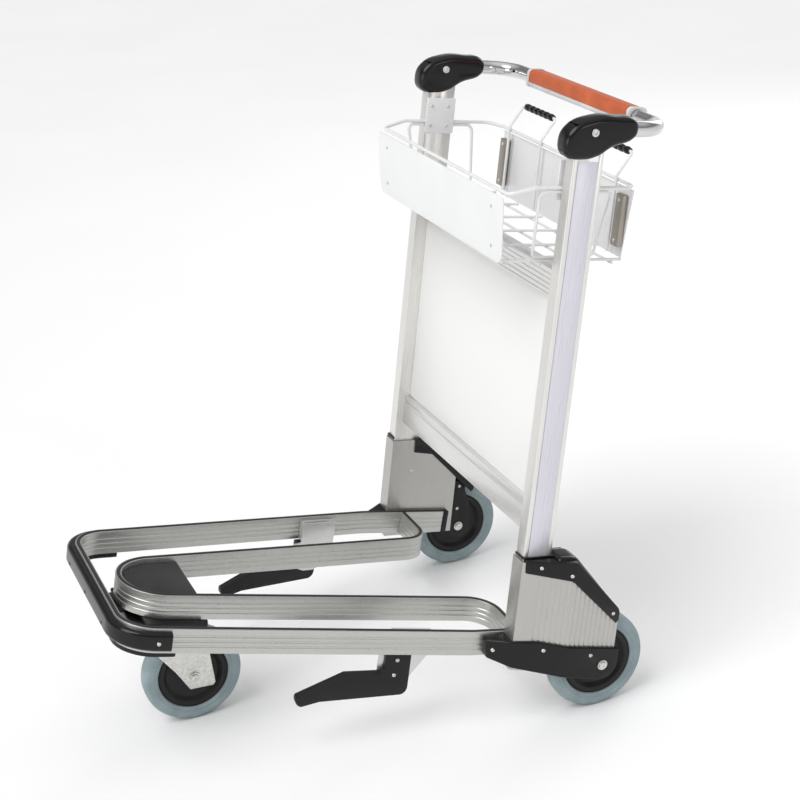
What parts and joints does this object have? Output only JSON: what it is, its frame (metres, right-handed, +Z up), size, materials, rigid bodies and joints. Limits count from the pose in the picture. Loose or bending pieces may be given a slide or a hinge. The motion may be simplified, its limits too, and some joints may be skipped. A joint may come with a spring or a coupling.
{
  "type": "airport luggage trolley",
  "caption": "Luggage trolley with a tapered ribbon-rail deck, leaning columns, display board, wire basket, bag hooks and a press-down brake handle.",
  "frame": {"origin": "on the floor, below the middle of the trolley's bounding box", "axes": "+Z up, -Y towards the nose, +Y towards the person pushing, +X to the pusher's left"},
  "size_m": [0.6432, 0.9468, 0.9937],
  "materials": {
    "anodised_aluminium": "satin anodised",
    "board_white": "smooth white",
    "black_gloss": "glossy moulded",
    "black_matte": "fine satin",
    "tyre_grey": "grey non-marking rubber",
    "chrome": "polished",
    "zinc_steel": "zinc plated",
    "white_wire": "white powder coat",
    "orange_grip": "soft-touch",
    "clamp_brown": "dark metallic",
    "pale_grey": "smooth",
    "black_rubber": "dull"
  },
  "bodies": {
    "trolley_frame": {"arm_bracket_left": "anodised_aluminium", "arm_bracket_right": "anodised_aluminium", "basket_clamp_left": "white_wire", "basket_clamp_right": "white_wire", "basket_floor": "white_wire", "basket_front_panel": "white_wire", "basket_rear_panel": "white_wire", "basket_rim": "white_wire", "basket_side_left": "white_wire", "basket_side_right": "white_wire", "casing_cap_left": "black_gloss", "casing_cap_right": "black_gloss", "casing_left": "anodised_aluminium", "casing_right": "anodised_aluminium", "caster_mount": "black_matte", "column_left": "anodised_aluminium", "column_right": "anodised_aluminium", "display_board": "board_white", "fork_plate_left": "black_matte", "fork_plate_right": "black_matte", "front_pad": "black_matte", "hook_loop_left": "white_wire", "hook_loop_right": "white_wire", "hook_sleeve_left": "black_gloss", "hook_sleeve_right": "black_gloss", "inner_rail": "anodised_aluminium", "inner_rail_edging": "black_rubber", "lower_cover_left": "black_gloss", "lower_cover_right": "black_gloss", "lower_crossbar": "anodised_aluminium", "nesting_arm_left": "black_matte", "nesting_arm_right": "black_matte", "nose_bumper": "black_gloss", "nose_plate": "black_matte", "outer_rail": "anodised_aluminium", "outer_rail_edging": "black_rubber", "panel_strip_left": "clamp_brown", "panel_strip_right": "clamp_brown", "pivot_pin_left": "zinc_steel", "pivot_pin_right": "zinc_steel", "rail_end_cap_left": "black_matte", "rail_end_cap_right": "black_matte", "rear_axle_left": "zinc_steel", "rear_axle_right": "zinc_steel", "upper_crossbar": "anodised_aluminium"},
    "caster": {"caster_fork": "zinc_steel", "caster_axle": "zinc_steel"},
    "caster_wheel": {"caster_hub": "black_matte", "caster_tyre": "tyre_grey"},
    "wheel_left": {"rear_hub_left": "black_matte", "rear_tyre_left": "tyre_grey"},
    "wheel_right": {"rear_hub_right": "black_matte", "rear_tyre_right": "tyre_grey"},
    "handle": {"handle_shell_left": "black_gloss", "handle_shell_right": "black_gloss", "handle_tube": "chrome", "handle_grip": "orange_grip", "grip_base": "pale_grey"},
    "brake_left": {"brake_rod_left": "zinc_steel"},
    "brake_right": {"brake_rod_right": "zinc_steel"}
  },
  "joints": [
    {"name": "caster_swivel", "type": "hinge", "parent": "trolley_frame", "child": "caster", "pos_m": [0, -0.3588, 0.183], "axis": [0, 0, 1], "continuous": true},
    {"name": "caster_wheel_spin", "type": "hinge", "parent": "caster", "child": "caster_wheel", "pos_m": [0, -0.3173, 0.085], "axis": [1, 0, 0], "continuous": true},
    {"name": "wheel_left_spin", "type": "hinge", "parent": "trolley_frame", "child": "wheel_left", "pos_m": [0.286, 0.296, 0.085], "axis": [1, 0, 0], "continuous": true},
    {"name": "wheel_right_spin", "type": "hinge", "parent": "trolley_frame", "child": "wheel_right", "pos_m": [-0.286, 0.296, 0.085], "axis": [1, 0, 0], "continuous": true},
    {"name": "handle_press", "type": "hinge", "parent": "trolley_frame", "child": "handle", "pos_m": [0, 0.32268, 0.9716], "axis": [-1, 0, 0], "range_deg": [0, 10], "stiffness_Nm_per_rad": 40, "springref_deg": -8.59},
    {"name": "brake_left_lift", "type": "slide", "parent": "trolley_frame", "child": "brake_left", "axis": [0, 0.1719, 0.9851], "range_m": [0, 0.006]},
    {"name": "brake_right_lift", "type": "slide", "parent": "trolley_frame", "child": "brake_right", "axis": [0, 0.1719, 0.9851], "range_m": [0, 0.006]}
  ],
  "couplings": [
    {"joint": "brake_left_lift", "follows": "handle_press", "m_per_rad": 0.0343},
    {"joint": "brake_right_lift", "follows": "handle_press", "m_per_rad": 0.0343}
  ]
}
